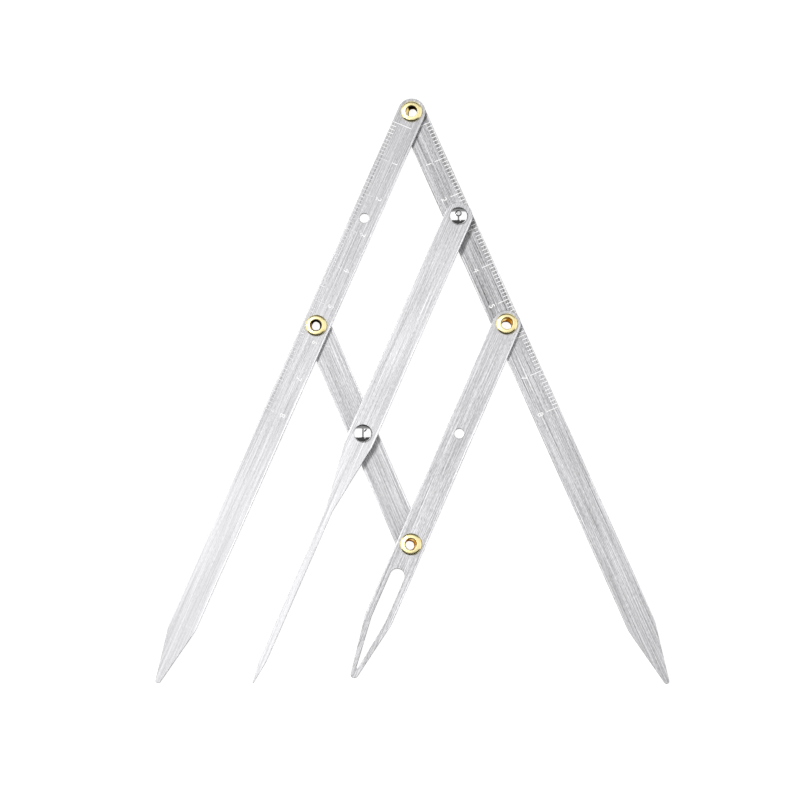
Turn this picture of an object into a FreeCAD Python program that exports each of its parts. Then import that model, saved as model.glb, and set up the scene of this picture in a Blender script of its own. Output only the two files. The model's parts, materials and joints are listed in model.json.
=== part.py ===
import FreeCAD, Part
import math
import os
import Sketcher
from FreeCAD import Rotation, Vector

# A proportional divider: five flat steel blades in one pivoted linkage, so that its four tips always stay in line and
# keep the same shares of the whole spread. Millimetres. The tool lies on its back: +Z is up through the blades, +Y
# points from the tips to the apex pivot, and the origin is on the apex pivot's axis, in the plane that the tool
# rests on. At rest the two arms stand open by opening_angle, evenly about the YZ plane.

SIZES = {
    # The linkage: hole distances and the resting angle between the arms.
    "pivot_pitch": (60.0, "between the eyelets along an arm, and between the needle's rivets"),
    "needle_pitch": (30.0, "eyelet to domed rivet along the right arm and along the cross link"),
    "tip_reach": (37.08, "lower eyelet to the line of the tips, which makes the pitch the golden share of an arm"),
    "opening_angle": (47.0, "degrees between the long arms at rest"),
    # What all the blades have in common.
    "blade_width": (7.0, "full width of every blade"),
    "blade_thickness": (1.0, "sheet thickness of every blade"),
    "edge_round": (0.12, "radius that the rims of every blade are tumbled to"),
    "eyelet_hole_radius": (1.60, "hole that an eyelet's barrel turns in"),
    "pin_hole_radius": (1.25, "hole for a domed rivet's post, also left empty in two blades"),
    # The points of the two long arms.
    "arm_taper": (15.4, "length of a long arm's taper"),
    "arm_tip_radius": (0.65, "blunt round end of a long arm"),
    "shoulder_radius": (9.0, "soft corner where a blade starts to narrow"),
    # The needle, measured on from its lower rivet.
    "needle_shoulder": (2.0, "lower rivet to the start of the taper"),
    "needle_taper": (18.7, "length of the taper down to the shank"),
    "needle_shank_width": (1.8, "width of the shank"),
    "needle_point": (6.2, "length of the point"),
    "needle_tip_radius": (0.15, "sharp end of the needle"),
    # The loop end, measured on from the lower eyelet.
    "loop_bridge": (6.7, "lower eyelet to the near end of the slot"),
    "loop_wall": (1.65, "width of steel on each side of the slot"),
    "loop_shoulder": (20.1, "lower eyelet to the start of the taper"),
    "loop_tip_inset": (1.4, "how far the loop's rounded end stays short of the line of the tips"),
    "loop_tip_radius": (0.9, "rounded end of the loop"),
    "loop_tip_web": (2.45, "steel between the far end of the slot and the end of the loop"),
    "slot_tip_radius": (0.25, "corner at the far end of the slot"),
    # Clearances between what turns on what.
    "radial_play": (0.05, "an eyelet or a post in a blade's hole"),
    "axial_play": (0.05, "between the faces of two blades, or of a blade and a head"),
    # The brass eyelets.
    "eyelet_wall": (0.30, "wall of an eyelet's barrel"),
    "collar_lip": (1.10, "how far the front collar reaches past the hole's edge"),
    "collar_rim": (0.15, "straight edge of the collar"),
    "collar_crown": (0.50, "rise of the collar's rounded top over its straight edge"),
    "tail_lip": (0.60, "how far the tail set on the back reaches past the hole's edge"),
    "back_height": (0.55, "height of what is set on the back, eyelet tails and rivet caps"),
    "back_round": (0.35, "outer rounding of what is set on the back"),
    # The domed rivets with their spacers and caps.
    "dome_lip": (1.00, "how far a domed head reaches past the hole's edge"),
    "dome_rim": (0.15, "straight edge of a domed head"),
    "dome_rise": (0.95, "rise of a dome over its straight edge"),
    "spacer_wall": (0.95, "width of the ring of a spacer under the needle blade"),
    "cap_lip": (0.95, "how far a rivet's cap on the back reaches past the hole's edge"),
    "cap_floor": (0.18, "steel left behind the end of a rivet's post"),
}

document = FreeCAD.newDocument("proportional_divider")


class Term:
    """A length from the sheet, or worked out from it: its number now and the formula that keeps it bound."""

    def __init__(self, number, formula):
        self.number = number
        self.formula = formula

    def _joined(self, other, sign, number):
        other_formula = other.formula if isinstance(other, Term) else str(other)
        return Term(number, f"({self.formula} {sign} {other_formula})")

    def __add__(self, other):
        return self._joined(other, "+", self.number + number_of(other))

    def __sub__(self, other):
        return self._joined(other, "-", self.number - number_of(other))

    def __mul__(self, other):
        return self._joined(other, "*", self.number * number_of(other))

    def __truediv__(self, other):
        return self._joined(other, "/", self.number / number_of(other))


def number_of(value):
    return value.number if isinstance(value, Term) else value


def sine(angle):
    return Term(math.sin(math.radians(angle.number)), f"sin({angle.formula})")


def cosine(angle):
    return Term(math.cos(math.radians(angle.number)), f"cos({angle.formula})")


def least(one, other):
    return Term(min(one.number, other.number), f"min({one.formula}; {other.formula})")


class Sizes:
    """The spreadsheet of driving dimensions, with each cell offered as a Term under its own name."""

    def __init__(self, table):
        sheet = document.addObject("Spreadsheet::Sheet", "sizes")
        for row, (name, (value, meaning)) in enumerate(table.items(), start=1):
            sheet.set(f"A{row}", name)
            sheet.set(f"B{row}", str(value))
            sheet.set(f"C{row}", meaning)
            sheet.setAlias(f"B{row}", name)
            setattr(self, name, Term(value, f"sizes.{name}"))
        document.recompute()


size = Sizes(SIZES)
ZERO = Term(0.0, "0")

# The apex pivot to the tip of a long arm. Every other tip ends on the line between the two long arms' tips.
arm_length = size.pivot_pitch * 2 + size.tip_reach

# Heights above the resting plane, from the back of the tool to its front.
back_blade_z = size.back_height
front_blade_z = back_blade_z + size.blade_thickness + size.axial_play
collar_z = front_blade_z + size.blade_thickness + size.axial_play
needle_blade_z = collar_z + size.axial_play
dome_z = needle_blade_z + size.blade_thickness + size.axial_play

# Radii of what passes through the blades.
barrel_radius = size.eyelet_hole_radius - size.radial_play
bore_radius = barrel_radius - size.eyelet_wall
post_radius = size.pin_hole_radius - size.radial_play

# Across and down, per millimetre along the right arm; the left arm mirrors it.
across = sine(size.opening_angle / 2)
down = cosine(size.opening_angle / 2)


# ---- sketches ---------------------------------------------------------------------------------------------------

def new_sketch(body, name, role):
    plane = next(feature for feature in body.Origin.OriginFeatures if feature.Role == role)
    sketch = body.newObject("Sketcher::SketchObject", name)
    sketch.AttachmentSupport = [(plane, "")]
    sketch.MapMode = "FlatFace"
    return sketch


def bind_constraint(sketch, kind, *arguments):
    """Add one dimension, whose last argument is a Term, and bind it to the sheet."""
    *geometry, term = arguments
    index = sketch.addConstraint(Sketcher.Constraint(kind, *geometry, term.number))
    sketch.setExpression(f"Constraints[{index}]", term.formula)


def constrain(sketch, kind, *arguments):
    sketch.addConstraint(Sketcher.Constraint(kind, *arguments))


# The sketcher's own numbers for its axes and for the points of a line, an arc or a circle.
X_AXIS, Y_AXIS = range(-1, -3, -1)
START, END, CENTRE = range(1, 4)
ORIGIN = (X_AXIS, START)


def place_on_axis(sketch, geometry, point, x):
    """Keep a point on the sketch's X axis, at x from its origin."""
    if x is ZERO:
        constrain(sketch, "Coincident", geometry, point, *ORIGIN)
        return
    constrain(sketch, "PointOnObject", geometry, point, X_AXIS)
    bind_constraint(sketch, "DistanceX", *ORIGIN, geometry, point, x)


def place_point(sketch, geometry, point, x, y):
    """Keep a point at x, y from the sketch's origin."""
    if y is ZERO:
        place_on_axis(sketch, geometry, point, x)
        return
    bind_constraint(sketch, "DistanceY", *ORIGIN, geometry, point, y)
    if x is ZERO:
        constrain(sketch, "PointOnObject", geometry, point, Y_AXIS)
    else:
        bind_constraint(sketch, "DistanceX", *ORIGIN, geometry, point, x)


def tangent_point(corner, centre_x, radius):
    """Where a line from a corner above the X axis touches the upper side of a circle on that axis."""
    to_centre = Vector(centre_x - corner.x, -corner.y, 0)
    turn = math.asin(radius / to_centre.Length)
    heading = math.atan2(to_centre.y, to_centre.x) + turn
    reach = math.sqrt(to_centre.Length ** 2 - radius ** 2)
    return corner + Vector(reach * math.cos(heading), reach * math.sin(heading), 0)


def mirrored(point):
    return Vector(point.x, -point.y, 0)


def blade_outline(body, name, nose_x, nose_radius, stations, tip_x, tip_radius):
    """Closed outline, symmetric about the X axis: a round nose, straight sides by way of the stations, a round tip.

    nose_x is the centre of the nose, stations are (distance along, half width), and tip_x is where the tip ends.
    """
    sketch = new_sketch(body, name, "XY_Plane")
    tip_centre = tip_x - tip_radius
    nose_top = Vector(nose_x.number, nose_radius.number, 0)
    corners = [Vector(x.number, half.number, 0) for x, half in stations]
    last = corners[-1] if corners else nose_top
    touch = tangent_point(last, tip_centre.number, tip_radius.number)
    upper = [nose_top, *corners, touch]
    tip_turn = math.atan2(touch.y, touch.x - tip_centre.number)

    nose = Part.ArcOfCircle(
        Part.Circle(Vector(nose_x.number, 0, 0), Vector(0, 0, 1), nose_radius.number), math.pi / 2, 3 * math.pi / 2
    )
    tip = Part.ArcOfCircle(
        Part.Circle(Vector(tip_centre.number, 0, 0), Vector(0, 0, 1), tip_radius.number), -tip_turn, tip_turn
    )
    nose_id = sketch.addGeometry(nose, False)
    tip_id = sketch.addGeometry(tip, False)
    sides = list(zip(upper, upper[1:]))
    upper_ids = [sketch.addGeometry(Part.LineSegment(near, far), False) for near, far in sides]
    lower_ids = [sketch.addGeometry(Part.LineSegment(mirrored(near), mirrored(far)), False) for near, far in sides]

    place_on_axis(sketch, nose_id, CENTRE, nose_x)
    place_on_axis(sketch, tip_id, CENTRE, tip_centre)
    bind_constraint(sketch, "Radius", nose_id, nose_radius)
    bind_constraint(sketch, "Radius", tip_id, tip_radius)
    for ids, nose_end, tip_end in ((upper_ids, START, END), (lower_ids, END, START)):
        constrain(sketch, "Tangent", nose_id, nose_end, ids[0], START)
        constrain(sketch, "Tangent", tip_id, tip_end, ids[-1], END)
        for near, far in zip(ids, ids[1:]):
            constrain(sketch, "Coincident", near, END, far, START)
    for (x, half), upper_id, lower_id in zip(stations, upper_ids, lower_ids):
        place_point(sketch, upper_id, END, x, half)
        constrain(sketch, "Symmetric", upper_id, END, lower_id, END, X_AXIS)
    return sketch


def circles(body, name, holes):
    """Round holes on the X axis, given as (distance along, radius)."""
    sketch = new_sketch(body, name, "XY_Plane")
    for x, radius in holes:
        circle = Part.Circle(Vector(x.number, 0, 0), Vector(0, 0, 1), radius.number)
        circle_id = sketch.addGeometry(circle, False)
        place_on_axis(sketch, circle_id, CENTRE, x)
        bind_constraint(sketch, "Radius", circle_id, radius)
    return sketch


def turned_profile(body, name, corners, arcs):
    """Closed half section for turning about Z: (radius, height) corners in order, joined by lines.

    arcs maps the index of a corner to the (centre radius, centre height, arc radius) of the arc that leaves it
    counterclockwise for the next corner, in place of a line.
    """
    sketch = new_sketch(body, name, "XZ_Plane")
    points = [Vector(x.number, y.number, 0) for x, y in corners]
    ids = []
    for index, (near, far) in enumerate(zip(points, points[1:] + points[:1])):
        if index in arcs:
            centre_x, centre_y, radius = arcs[index]
            centre = Vector(centre_x.number, centre_y.number, 0)
            start = math.atan2(near.y - centre.y, near.x - centre.x)
            end = math.atan2(far.y - centre.y, far.x - centre.x)
            shape = Part.ArcOfCircle(Part.Circle(centre, Vector(0, 0, 1), radius.number), start, end)
        else:
            shape = Part.LineSegment(near, far)
        ids.append(sketch.addGeometry(shape, False))
    for near, far in zip(ids, ids[1:] + ids[:1]):
        constrain(sketch, "Coincident", near, END, far, START)
    for geometry, (x, y) in zip(ids, corners):
        place_point(sketch, geometry, START, x, y)
    for index, (_, _, radius) in arcs.items():
        bind_constraint(sketch, "Radius", ids[index], radius)
    return sketch


# ---- features ---------------------------------------------------------------------------------------------------

def new_body(name):
    body = document.addObject("PartDesign::Body", name)
    body.Label = name
    return body


def pad(body, name, sketch, length):
    feature = body.newObject("PartDesign::Pad", name)
    feature.Profile = sketch
    feature.setExpression("Length", length.formula)
    document.recompute()
    return feature


def cut_through(body, name, sketch):
    """Cut a sketch of the XY plane up through the whole blade, and make sure that it did cut."""
    before = body.Shape.Volume
    feature = body.newObject("PartDesign::Pocket", name)
    feature.Profile = sketch
    feature.Type = "ThroughAll"
    feature.Reversed = True
    document.recompute()
    if not body.Shape.Volume < before:
        raise RuntimeError(f"{body.Label}: {name} cut nothing")
    return feature


def round_edges(body, name, wanted, radius):
    """Fillet every edge of the body so far that the test accepts."""
    base = body.Tip
    edges = [f"Edge{index}" for index, edge in enumerate(base.Shape.Edges, start=1) if wanted(edge)]
    feature = body.newObject("PartDesign::Fillet", name)
    feature.Base = (base, edges)
    feature.setExpression("Radius", radius.formula)
    document.recompute()
    return feature


def stands_upright(edge):
    return edge.BoundBox.ZLength > 1e-3


def is_rim(edge):
    return not stands_upright(edge)


def turn(body, name, sketch):
    feature = body.newObject("PartDesign::Revolution", name)
    feature.Profile = sketch
    feature.ReferenceAxis = (sketch, ["V_Axis"])
    feature.Angle = 360.0
    document.recompute()
    return feature


def place(body, x, y, z, turn_degrees=None):
    """Bind the body's place to the sheet, and its turn about Z if it has one."""
    if turn_degrees:
        body.Placement.Rotation = Rotation(Vector(0, 0, 1), turn_degrees.number)
        body.setExpression("Placement.Rotation.Angle", turn_degrees.formula)
    for letter, term in (("x", x), ("y", y), ("z", z)):
        body.setExpression(f"Placement.Base.{letter}", term.formula)
    document.recompute()


# ---- the linkage's pivots ---------------------------------------------------------------------------------------

def pivot(along_left, along_right):
    """The point reached by going this far in the left arm's direction and this far in the right arm's."""
    return (along_right - along_left) * across, (along_left + along_right) * down * -1


apex = (ZERO, ZERO)
left_pivot = pivot(size.pivot_pitch, ZERO)
right_pivot = pivot(ZERO, size.pivot_pitch)
lower_pivot = pivot(size.pivot_pitch, size.pivot_pitch)
upper_needle_pivot = pivot(ZERO, size.needle_pitch)
lower_needle_pivot = pivot(size.pivot_pitch, size.needle_pitch)

# Turns about Z that point a blade's own +X down the left arm's direction, or down the right arm's.
along_left_arm = Term(-90.0, "-90") - size.opening_angle / 2
along_right_arm = Term(-90.0, "-90") + size.opening_angle / 2


# ---- blades -----------------------------------------------------------------------------------------------------

def blade(name, stations, tip_x, tip_radius, holes, slot=None):
    """A flat blade that starts with a round end about the origin and runs along +X.

    Its rims are rounded all round, by less than the radius of its tip where that is smaller.
    """
    half_width = size.blade_width / 2
    body = new_body(name)
    outline = blade_outline(body, f"{name}_outline", ZERO, half_width, stations, tip_x, tip_radius)
    pad(body, f"{name}_sheet", outline, size.blade_thickness)
    if stations:
        shoulder_x = stations[0][0].number

        def is_shoulder(edge):
            return stands_upright(edge) and abs(edge.CenterOfMass.x - shoulder_x) < 1e-3

        round_edges(body, f"{name}_shoulders", is_shoulder, size.shoulder_radius)
    cut_through(body, f"{name}_holes", circles(body, f"{name}_hole_circles", holes))
    if slot:
        cut_through(body, f"{name}_slot", blade_outline(body, f"{name}_slot_outline", *slot))
    round_edges(body, f"{name}_rims", is_rim, least(size.edge_round, tip_radius * 0.7))
    return body


def long_arm(name):
    """Both long arms are the same blank: the left one's rivet hole stays empty."""
    taper_start = arm_length - size.arm_taper
    holes = [
        (ZERO, size.eyelet_hole_radius),
        (size.needle_pitch, size.pin_hole_radius),
        (size.pivot_pitch, size.eyelet_hole_radius),
    ]
    return blade(name, [(taper_start, size.blade_width / 2)], arm_length, size.arm_tip_radius, holes)


def cross_link():
    holes = [
        (ZERO, size.eyelet_hole_radius),
        (size.needle_pitch, size.pin_hole_radius),
        (size.pivot_pitch, size.eyelet_hole_radius),
    ]
    half_width = size.blade_width / 2
    return blade("cross_link", [], size.pivot_pitch + half_width, half_width, holes)


def needle_arm():
    shank_half = size.needle_shank_width / 2
    tip_x = arm_length - size.needle_pitch
    shoulder_x = size.pivot_pitch + size.needle_shoulder
    stations = [
        (shoulder_x, size.blade_width / 2),
        (shoulder_x + size.needle_taper, shank_half),
        (tip_x - size.needle_point, shank_half),
    ]
    holes = [(ZERO, size.pin_hole_radius), (size.pivot_pitch, size.pin_hole_radius)]
    return blade("needle_arm", stations, tip_x, size.needle_tip_radius, holes)


def loop_arm():
    half_width = size.blade_width / 2
    tip_x = arm_length - size.pivot_pitch - size.loop_tip_inset
    shoulder_x = size.pivot_pitch + size.loop_shoulder
    slot_half = half_width - size.loop_wall
    slot_nose_x = size.pivot_pitch + size.loop_bridge + slot_half
    slot = (slot_nose_x, slot_half, [(shoulder_x, slot_half)], tip_x - size.loop_tip_web, size.slot_tip_radius)
    holes = [
        (ZERO, size.eyelet_hole_radius),
        (size.needle_pitch, size.pin_hole_radius),
        (size.pivot_pitch, size.eyelet_hole_radius),
    ]
    return blade("loop_arm", [(shoulder_x, half_width)], tip_x, size.loop_tip_radius, holes, slot)


# ---- eyelets and rivets -----------------------------------------------------------------------------------------

def eyelet(name):
    """Brass tube with a rounded collar on the front and a tail set flat on the back, standing on the resting plane."""
    rim_z = collar_z + size.collar_rim
    collar_radius = size.eyelet_hole_radius + size.collar_lip
    tail_radius = size.eyelet_hole_radius + size.tail_lip
    half_span = (collar_radius - bore_radius) / 2
    crown_radius = (half_span * half_span + size.collar_crown * size.collar_crown) / (size.collar_crown * 2)
    crown_centre = (bore_radius + half_span, rim_z + size.collar_crown - crown_radius, crown_radius)
    tail_flat = tail_radius - size.back_round
    corners = [
        (bore_radius, ZERO),
        (tail_flat, ZERO),
        (tail_radius, size.back_round),
        (tail_radius, size.back_height),
        (barrel_radius, size.back_height),
        (barrel_radius, collar_z),
        (collar_radius, collar_z),
        (collar_radius, rim_z),
        (bore_radius, rim_z),
    ]
    arcs = {1: (tail_flat, size.back_round, size.back_round), 7: crown_centre}
    body = new_body(name)
    turn(body, f"{name}_turned", turned_profile(body, f"{name}_section", corners, arcs))
    return body


def domed_rivet(name):
    """Steel post with a polished domed head, reaching down into the cap on the back."""
    rim_z = dome_z + size.dome_rim
    top_z = rim_z + size.dome_rise
    dome_radius = size.pin_hole_radius + size.dome_lip
    sphere_radius = (dome_radius * dome_radius + size.dome_rise * size.dome_rise) / (size.dome_rise * 2)
    corners = [
        (ZERO, size.cap_floor),
        (post_radius, size.cap_floor),
        (post_radius, dome_z),
        (dome_radius, dome_z),
        (dome_radius, rim_z),
        (ZERO, top_z),
    ]
    arcs = {4: (ZERO, top_z - sphere_radius, sphere_radius)}
    body = new_body(name)
    turn(body, f"{name}_turned", turned_profile(body, f"{name}_section", corners, arcs))
    return body


def rivet_cap(name):
    """Flat cup set on the back, which holds the end of a domed rivet's post."""
    cap_radius = size.pin_hole_radius + size.cap_lip
    flat_radius = cap_radius - size.back_round
    corners = [
        (ZERO, ZERO),
        (flat_radius, ZERO),
        (cap_radius, size.back_round),
        (cap_radius, size.back_height),
        (post_radius, size.back_height),
        (post_radius, size.cap_floor),
        (ZERO, size.cap_floor),
    ]
    body = new_body(name)
    arcs = {1: (flat_radius, size.back_round, size.back_round)}
    turn(body, f"{name}_turned", turned_profile(body, f"{name}_section", corners, arcs))
    return body


def spacer(name):
    """Washer that lifts the needle blade clear of the arms, standing on a back blade."""
    body = new_body(name)
    outline = circles(body, f"{name}_outline", [(ZERO, size.pin_hole_radius + size.spacer_wall)])
    pad(body, f"{name}_disc", outline, needle_blade_z - size.axial_play - back_blade_z - size.blade_thickness)
    cut_through(body, f"{name}_hole", circles(body, f"{name}_hole_circle", [(ZERO, size.pin_hole_radius)]))
    return body


# ---- assembly ---------------------------------------------------------------------------------------------------

left_arm_body = long_arm("left_arm")
right_arm_body = long_arm("right_arm")
place(left_arm_body, *apex, front_blade_z, along_left_arm)
place(right_arm_body, *apex, back_blade_z, along_right_arm)
place(cross_link(), *left_pivot, back_blade_z, along_right_arm)
place(loop_arm(), *right_pivot, front_blade_z, along_left_arm)
place(needle_arm(), *upper_needle_pivot, needle_blade_z, along_left_arm)

EYELETS = {
    "apex_eyelet": apex,
    "left_eyelet": left_pivot,
    "right_eyelet": right_pivot,
    "lower_eyelet": lower_pivot,
}
for name, (x, y) in EYELETS.items():
    place(eyelet(name), x, y, ZERO)

RIVETS = {"upper": upper_needle_pivot, "lower": lower_needle_pivot}
for side, (x, y) in RIVETS.items():
    place(domed_rivet(f"{side}_rivet"), x, y, ZERO)
    place(rivet_cap(f"{side}_rivet_cap"), x, y, ZERO)
    place(spacer(f"{side}_spacer"), x, y, back_blade_z + size.blade_thickness)

document.recompute()
for item in document.Objects:
    if "Invalid" in item.State or "Error" in item.State:
        raise RuntimeError(f"{item.Name} failed: {item.State}")

pieces = [item for item in document.Objects if item.TypeId == "PartDesign::Body"]
for piece in pieces:
    if piece.Shape.isNull() or not piece.Shape.isValid() or len(piece.Shape.Solids) != 1:
        raise RuntimeError(f"{piece.Label} isn't one valid solid")

os.makedirs("parts", exist_ok=True)
for piece in pieces:
    piece.Shape.exportStep(f"parts/{piece.Label}.step")
    box = piece.Shape.BoundBox
    print(
        f"{piece.Label:18s} {piece.Shape.Volume:9.3f} mm3"
        f"  x {box.XMin:8.3f} {box.XMax:8.3f}  y {box.YMin:9.3f} {box.YMax:8.3f}  z {box.ZMin:6.3f} {box.ZMax:6.3f}"
    )
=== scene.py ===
"""Looks of a golden-ratio proportional divider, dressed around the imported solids.

The tool lies on its back on a pale table: two ruled arms, a cross link, a needle blade and a loop blade of brushed
steel, joined by four brass eyelets and two polished domed rivets. Sizes are given in millimetres and turned into
metres where a mesh is made or a node is fed.
"""

import json
import logging
import math
from collections.abc import Callable
from dataclasses import dataclass
from enum import Enum

import bmesh
import bpy
import numpy as np
from mathutils import Matrix, Vector

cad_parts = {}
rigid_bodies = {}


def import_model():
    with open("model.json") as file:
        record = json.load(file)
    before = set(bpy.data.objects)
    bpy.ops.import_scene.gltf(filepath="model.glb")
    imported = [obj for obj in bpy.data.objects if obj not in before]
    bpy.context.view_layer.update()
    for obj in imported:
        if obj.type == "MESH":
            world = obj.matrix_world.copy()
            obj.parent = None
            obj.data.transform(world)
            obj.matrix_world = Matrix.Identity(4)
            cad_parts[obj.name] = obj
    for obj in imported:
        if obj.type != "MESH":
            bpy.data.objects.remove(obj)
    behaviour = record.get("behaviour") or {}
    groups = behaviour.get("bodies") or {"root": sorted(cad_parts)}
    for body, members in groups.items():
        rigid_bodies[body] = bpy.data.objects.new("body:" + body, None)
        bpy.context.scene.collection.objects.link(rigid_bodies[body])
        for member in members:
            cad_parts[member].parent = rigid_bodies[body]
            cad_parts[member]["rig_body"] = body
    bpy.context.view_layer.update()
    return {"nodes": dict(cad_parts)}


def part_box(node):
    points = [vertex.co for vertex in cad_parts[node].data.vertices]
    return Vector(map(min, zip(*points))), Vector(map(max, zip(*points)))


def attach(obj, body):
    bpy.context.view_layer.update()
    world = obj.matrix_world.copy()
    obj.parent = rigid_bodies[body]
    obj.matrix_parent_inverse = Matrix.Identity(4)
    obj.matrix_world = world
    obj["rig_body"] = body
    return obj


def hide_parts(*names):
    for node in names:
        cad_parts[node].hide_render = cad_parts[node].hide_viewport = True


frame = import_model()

MM = 0.001
SHARP_DEGREES = 38.0
SEGMENTS = 144
NEAR_AXIS = 0.1
# How far one step of a noise's seed moves it along x, y and z, in cells.
SEED_STEP = (7.3, 3.1, 5.7)
log = logging.getLogger("divider")

Socket = bpy.types.NodeSocket
Value = float | Socket
Pair = tuple[float, float]
Triple = tuple[float, float, float]
Warp = Callable[[np.ndarray, np.ndarray], np.ndarray]


class Slot(Enum):
    """The record's material slots, one for each kind of finish."""

    BLADE_STEEL = "blade_steel"
    BRASS = "brass"
    POLISHED_STEEL = "polished_steel"


class RuledEdge(Enum):
    """The side of a blade that its ruler stands on, looking down the blade from its apex end."""

    TO_THE_LEFT = 1
    TO_THE_RIGHT = -1


# ---- node graphs ----

class Graph:
    """A node tree with short calls for the nodes that the finishes and the light are made of."""

    def __init__(self, owner: bpy.types.Material | bpy.types.World) -> None:
        """Take over the tree of a material or of the world and empty it."""
        owner.use_nodes = True
        self.tree = owner.node_tree
        self.tree.nodes.clear()

    def feed(self, socket: Socket, value: object) -> None:
        """Link a socket to another, or set it to a constant.

        Args:
            socket: the input to feed.
            value: an output socket, a number, or a vector or colour.
        """
        if isinstance(value, Socket):
            self.tree.links.new(value, socket)
        else:
            socket.default_value = value

    def add(self, kind: str, *values: object, **settings: object) -> bpy.types.Node:
        """Add a node of one kind.

        Args:
            kind: the node's type name.
            values: what its inputs are fed with, in order.
            settings: attributes of the node, set first.

        Returns:
            The new node.
        """
        node = self.tree.nodes.new(kind)
        for name, value in settings.items():
            setattr(node, name, value)
        for socket, value in zip(node.inputs, values):
            self.feed(socket, value)
        return node

    def named(self, node: bpy.types.Node, inputs: dict[str, object]) -> bpy.types.Node:
        """Feed a node's inputs by their names.

        Args:
            node: the node.
            inputs: what each named input is fed with.

        Returns:
            The same node.
        """
        for name, value in inputs.items():
            self.feed(node.inputs[name], value)
        return node

    def math(self, operation: str, *values: Value) -> Socket:
        """The result of one arithmetic node, such as ADD, of the values in order."""
        return self.add("ShaderNodeMath", *values, operation=operation).outputs[0]

    def times(self, one: Value, other: Value) -> Socket:
        """The product of two values."""
        return self.math("MULTIPLY", one, other)

    def scaled(self, value: Value, factor: Value, base: Value) -> Socket:
        """A value times a factor, plus a base."""
        return self.math("MULTIPLY_ADD", value, factor, base)

    def between(self, factor: Value, ends: Pair) -> Socket:
        """What runs from the first end to the second as the factor runs from 0 to 1."""
        return self.scaled(factor, ends[1] - ends[0], ends[0])

    def swing(self, pattern: Socket, amount: float, base: Value) -> Socket:
        """A base that a pattern about 0.5 moves both ways: base + amount * (pattern - 0.5)."""
        return self.scaled(self.math("SUBTRACT", pattern, 0.5), amount, base)

    def off(self, value: Value, centre: float) -> Socket:
        """How far a value is from a centre, either way."""
        return self.math("ABSOLUTE", self.math("SUBTRACT", value, centre))

    def larger(self, one: Value, other: Value) -> Socket:
        """The larger of two values."""
        return self.math("MAXIMUM", one, other)

    def ramp(self, value: Value, low: float, high: float, start: Value = 0.0, end: Value = 1.0) -> Socket:
        """Map a value smoothly from start, at low and below it, to end, at high and above it."""
        node = self.add("ShaderNodeMapRange", value, low, high, start, end, interpolation_type="SMOOTHSTEP")
        return node.outputs[0]

    def span(self, value: Value, low: float, high: float, start: Value = 0.0, end: Value = 1.0) -> Socket:
        """A ramp over a length: the value is in metres and the two bounds are in mm."""
        return self.ramp(value, low * MM, high * MM, start, end)

    def vector(self, operation: str, *values: object) -> Socket:
        """The result of one vector arithmetic node, such as ADD, of the values in order."""
        node = self.add("ShaderNodeVectorMath", *values, operation=operation)
        return node.outputs["Value" if operation == "LENGTH" else "Vector"]

    def parts(self, vector: Socket) -> list[Socket]:
        """The x, y and z of a vector."""
        return list(self.add("ShaderNodeSeparateXYZ", vector).outputs)

    def joined(self, x: Value, y: Value, z: Value) -> Socket:
        """The vector of an x, a y and a z."""
        return self.add("ShaderNodeCombineXYZ", x, y, z).outputs[0]

    def about(self, place: Socket, axis: np.ndarray) -> Socket:
        """A position taken from an upright axis, which is given as its x and y in mm."""
        return self.vector("SUBTRACT", place, (axis[0] * MM, axis[1] * MM, 0.0))

    def from_axis(self, place: Socket, axis: np.ndarray) -> Socket:
        """Distance from an upright axis, in metres: the root of the squares' sum of x and y from it."""
        return self.vector("LENGTH", self.vector("MULTIPLY", self.about(place, axis), (1.0, 1.0, 0.0)))

    def noise(self, place: Socket, cells: Triple | float, detail: float, seed: float) -> Socket:
        """Noise about 0.5, with its own scale along each axis or the same along all.

        Args:
            place: the position's socket, in metres.
            cells: cells per metre along x, y and z, or one number for all three.
            detail: octaves of finer noise.
            seed: moves the pattern, so that two uses differ.

        Returns:
            The noise's socket.
        """
        cells = (cells,) * 3 if isinstance(cells, float) else cells
        shift = tuple(seed * step for step in SEED_STEP)
        moved = self.vector("ADD", self.vector("MULTIPLY", place, cells), shift)
        inputs = {"Vector": moved, "Scale": 1.0, "Detail": detail}
        return self.named(self.add("ShaderNodeTexNoise"), inputs).outputs["Fac"]

    def tinted(self, amount: Value, colour: Triple) -> Socket:
        """A colour made lighter or darker by a factor on its red, green and blue."""
        return self.joined(*(self.times(amount, channel) for channel in colour))

    def mixed(self, factor: Value, one: Socket | Triple, other: Socket | Triple) -> Socket:
        """A mix of two colours, each a socket or linear red, green and blue.

        Args:
            factor: 0 for one, 1 for the other.
            one: first colour.
            other: second colour.

        Returns:
            The mixed colour's socket.
        """
        # Of a Mix node's sockets, the colours are inputs 6 and 7 and output 2.
        node = self.add("ShaderNodeMix", factor, data_type="RGBA")
        for index, colour in ((6, one), (7, other)):
            self.feed(node.inputs[index], colour if isinstance(colour, Socket) else (*colour, 1.0))
        return node.outputs[2]

    def bump(self, height: Socket, depth: float) -> Socket:
        """The normal bumped by a relief, whose height of 1 is so many mm deep."""
        inputs = {"Height": height, "Strength": 1.0, "Distance": depth * MM}
        return self.named(self.add("ShaderNodeBump"), inputs).outputs["Normal"]


def new_material(name: str) -> tuple[bpy.types.Material, Graph, bpy.types.Node, Socket]:
    """An empty material with its main shader and the position on the object.

    Args:
        name: the material's name.

    Returns:
        The material, its graph, its main shader and the socket of the object position in metres.
    """
    material = bpy.data.materials.new(name)
    graph = Graph(material)
    shader = graph.add("ShaderNodeBsdfPrincipled")
    graph.add("ShaderNodeOutputMaterial", shader.outputs[0])
    place = graph.add("ShaderNodeTexCoord").outputs["Object"]
    return material, graph, shader, place


# ---- finishes ----

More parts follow.
